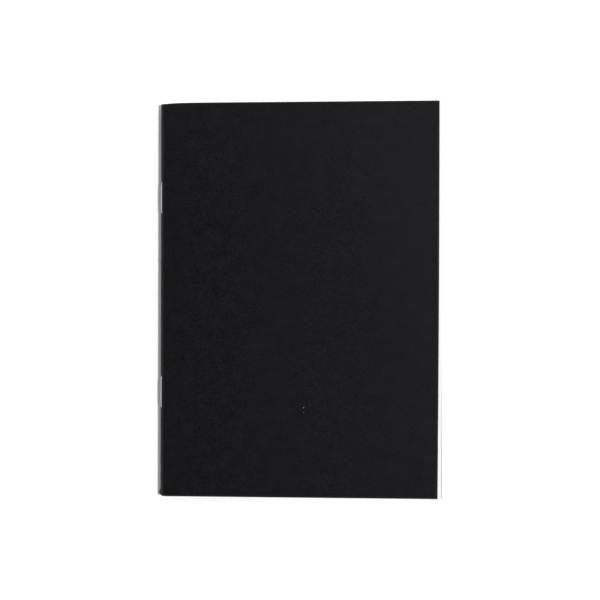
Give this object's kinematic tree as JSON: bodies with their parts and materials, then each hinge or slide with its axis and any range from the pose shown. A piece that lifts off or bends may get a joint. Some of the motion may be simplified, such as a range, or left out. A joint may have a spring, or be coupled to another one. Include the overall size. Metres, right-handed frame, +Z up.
{
  "type": "sketch pad",
  "caption": "Pocket sketch pad with a plain black card cover and white drawing leaves, saddle-stapled with wire staples through the fold; the cover and leaves turn on the fold.",
  "frame": {"origin": "middle of the shut pad's underside, on the surface it lies on", "axes": "+X from the spine to the fore-edge, +Y up the page along the spine, +Z up out of the front cover"},
  "size_m": [0.1056, 0.148, 0.0056],
  "materials": {
    "black_card": "uncoated black card, matt, fine mottled grain",
    "drawing_paper": "uncoated warm white drawing paper, fine tooth",
    "staple_wire": "bright drawn steel wire"
  },
  "bodies": {
    "bound_spine": {"back_cover": "black_card", "cover_spine": "black_card", "sheet_fold_01": "drawing_paper", "sheet_fold_02": "drawing_paper", "sheet_fold_03": "drawing_paper", "sheet_fold_04": "drawing_paper", "sheet_fold_05": "drawing_paper", "sheet_fold_06": "drawing_paper", "sheet_fold_07": "drawing_paper", "sheet_fold_08": "drawing_paper", "sheet_fold_09": "drawing_paper", "sheet_fold_10": "drawing_paper", "staple_upper": "staple_wire", "staple_lower": "staple_wire"},
    "front_cover": {"front_cover": "black_card"},
    "leaf_01": {"leaf_01": "drawing_paper"},
    "leaf_02": {"leaf_02": "drawing_paper"},
    "leaf_03": {"leaf_03": "drawing_paper"},
    "leaf_04": {"leaf_04": "drawing_paper"},
    "leaf_05": {"leaf_05": "drawing_paper"},
    "leaf_06": {"leaf_06": "drawing_paper"},
    "leaf_07": {"leaf_07": "drawing_paper"},
    "leaf_08": {"leaf_08": "drawing_paper"},
    "leaf_09": {"leaf_09": "drawing_paper"},
    "leaf_10": {"leaf_10": "drawing_paper"},
    "leaf_11": {"leaf_11": "drawing_paper"},
    "leaf_12": {"leaf_12": "drawing_paper"},
    "leaf_13": {"leaf_13": "drawing_paper"},
    "leaf_14": {"leaf_14": "drawing_paper"},
    "leaf_15": {"leaf_15": "drawing_paper"},
    "leaf_16": {"leaf_16": "drawing_paper"},
    "leaf_17": {"leaf_17": "drawing_paper"},
    "leaf_18": {"leaf_18": "drawing_paper"},
    "leaf_19": {"leaf_19": "drawing_paper"},
    "leaf_20": {"leaf_20": "drawing_paper"}
  },
  "joints": [
    {"name": "cover_hinge", "type": "hinge", "parent": "bound_spine", "child": "front_cover", "pos_m": [-0.05054, 0, 0.00226], "axis": [0, -1, 0], "range_deg": [0, 179.3]},
    {"name": "leaf_01_hinge", "type": "hinge", "parent": "bound_spine", "child": "leaf_01", "pos_m": [-0.05054, 0, 0.00226], "axis": [0, -1, 0], "range_deg": [0, 176.3]},
    {"name": "leaf_02_hinge", "type": "hinge", "parent": "bound_spine", "child": "leaf_02", "pos_m": [-0.05054, 0, 0.00226], "axis": [0, -1, 0], "range_deg": [0, 174.7]},
    {"name": "leaf_03_hinge", "type": "hinge", "parent": "bound_spine", "child": "leaf_03", "pos_m": [-0.05054, 0, 0.00226], "axis": [0, -1, 0], "range_deg": [0, 172.5]},
    {"name": "leaf_04_hinge", "type": "hinge", "parent": "bound_spine", "child": "leaf_04", "pos_m": [-0.05054, 0, 0.00226], "axis": [0, -1, 0], "range_deg": [0, 170]},
    {"name": "leaf_05_hinge", "type": "hinge", "parent": "bound_spine", "child": "leaf_05", "pos_m": [-0.05054, 0, 0.00226], "axis": [0, -1, 0], "range_deg": [0, 167.3]},
    {"name": "leaf_06_hinge", "type": "hinge", "parent": "bound_spine", "child": "leaf_06", "pos_m": [-0.05054, 0, 0.00226], "axis": [0, -1, 0], "range_deg": [0, 164.5]},
    {"name": "leaf_07_hinge", "type": "hinge", "parent": "bound_spine", "child": "leaf_07", "pos_m": [-0.05054, 0, 0.00226], "axis": [0, -1, 0], "range_deg": [0, 161.6]},
    {"name": "leaf_08_hinge", "type": "hinge", "parent": "bound_spine", "child": "leaf_08", "pos_m": [-0.05054, 0, 0.00226], "axis": [0, -1, 0], "range_deg": [0, 158.6]},
    {"name": "leaf_09_hinge", "type": "hinge", "parent": "bound_spine", "child": "leaf_09", "pos_m": [-0.05054, 0, 0.00226], "axis": [0, -1, 0], "range_deg": [0, 155.5]},
    {"name": "leaf_10_hinge", "type": "hinge", "parent": "bound_spine", "child": "leaf_10", "pos_m": [-0.05054, 0, 0.00226], "axis": [0, -1, 0], "range_deg": [0, 152.3]},
    {"name": "leaf_11_hinge", "type": "hinge", "parent": "bound_spine", "child": "leaf_11", "pos_m": [-0.05054, 0, 0.00226], "axis": [0, -1, 0], "range_deg": [0, 27.1]},
    {"name": "leaf_12_hinge", "type": "hinge", "parent": "bound_spine", "child": "leaf_12", "pos_m": [-0.05054, 0, 0.00226], "axis": [0, -1, 0], "range_deg": [0, 23.9]},
    {"name": "leaf_13_hinge", "type": "hinge", "parent": "bound_spine", "child": "leaf_13", "pos_m": [-0.05054, 0, 0.00226], "axis": [0, -1, 0], "range_deg": [0, 20.8]},
    {"name": "leaf_14_hinge", "type": "hinge", "parent": "bound_spine", "child": "leaf_14", "pos_m": [-0.05054, 0, 0.00226], "axis": [0, -1, 0], "range_deg": [0, 17.8]},
    {"name": "leaf_15_hinge", "type": "hinge", "parent": "bound_spine", "child": "leaf_15", "pos_m": [-0.05054, 0, 0.00226], "axis": [0, -1, 0], "range_deg": [0, 14.9]},
    {"name": "leaf_16_hinge", "type": "hinge", "parent": "bound_spine", "child": "leaf_16", "pos_m": [-0.05054, 0, 0.00226], "axis": [0, -1, 0], "range_deg": [0, 12.1]},
    {"name": "leaf_17_hinge", "type": "hinge", "parent": "bound_spine", "child": "leaf_17", "pos_m": [-0.05054, 0, 0.00226], "axis": [0, -1, 0], "range_deg": [0, 9.4]},
    {"name": "leaf_18_hinge", "type": "hinge", "parent": "bound_spine", "child": "leaf_18", "pos_m": [-0.05054, 0, 0.00226], "axis": [0, -1, 0], "range_deg": [0, 6.9]},
    {"name": "leaf_19_hinge", "type": "hinge", "parent": "bound_spine", "child": "leaf_19", "pos_m": [-0.05054, 0, 0.00226], "axis": [0, -1, 0], "range_deg": [0, 4.7]},
    {"name": "leaf_20_hinge", "type": "hinge", "parent": "bound_spine", "child": "leaf_20", "pos_m": [-0.05054, 0, 0.00226], "axis": [0, -1, 0], "range_deg": [0, 3.1]}
  ],
  "couplings": [
    {"joint": "leaf_01_hinge", "follows": "cover_hinge", "ratio": 0.983},
    {"joint": "leaf_02_hinge", "follows": "cover_hinge", "ratio": 0.974},
    {"joint": "leaf_03_hinge", "follows": "cover_hinge", "ratio": 0.962},
    {"joint": "leaf_04_hinge", "follows": "cover_hinge", "ratio": 0.948},
    {"joint": "leaf_05_hinge", "follows": "cover_hinge", "ratio": 0.933},
    {"joint": "leaf_06_hinge", "follows": "cover_hinge", "ratio": 0.917},
    {"joint": "leaf_07_hinge", "follows": "cover_hinge", "ratio": 0.901},
    {"joint": "leaf_08_hinge", "follows": "cover_hinge", "ratio": 0.884},
    {"joint": "leaf_09_hinge", "follows": "cover_hinge", "ratio": 0.867},
    {"joint": "leaf_10_hinge", "follows": "cover_hinge", "ratio": 0.849},
    {"joint": "leaf_11_hinge", "follows": "cover_hinge", "ratio": 0.151},
    {"joint": "leaf_12_hinge", "follows": "cover_hinge", "ratio": 0.133},
    {"joint": "leaf_13_hinge", "follows": "cover_hinge", "ratio": 0.116},
    {"joint": "leaf_14_hinge", "follows": "cover_hinge", "ratio": 0.099},
    {"joint": "leaf_15_hinge", "follows": "cover_hinge", "ratio": 0.083},
    {"joint": "leaf_16_hinge", "follows": "cover_hinge", "ratio": 0.067},
    {"joint": "leaf_17_hinge", "follows": "cover_hinge", "ratio": 0.052},
    {"joint": "leaf_18_hinge", "follows": "cover_hinge", "ratio": 0.038},
    {"joint": "leaf_19_hinge", "follows": "cover_hinge", "ratio": 0.026},
    {"joint": "leaf_20_hinge", "follows": "cover_hinge", "ratio": 0.017}
  ]
}
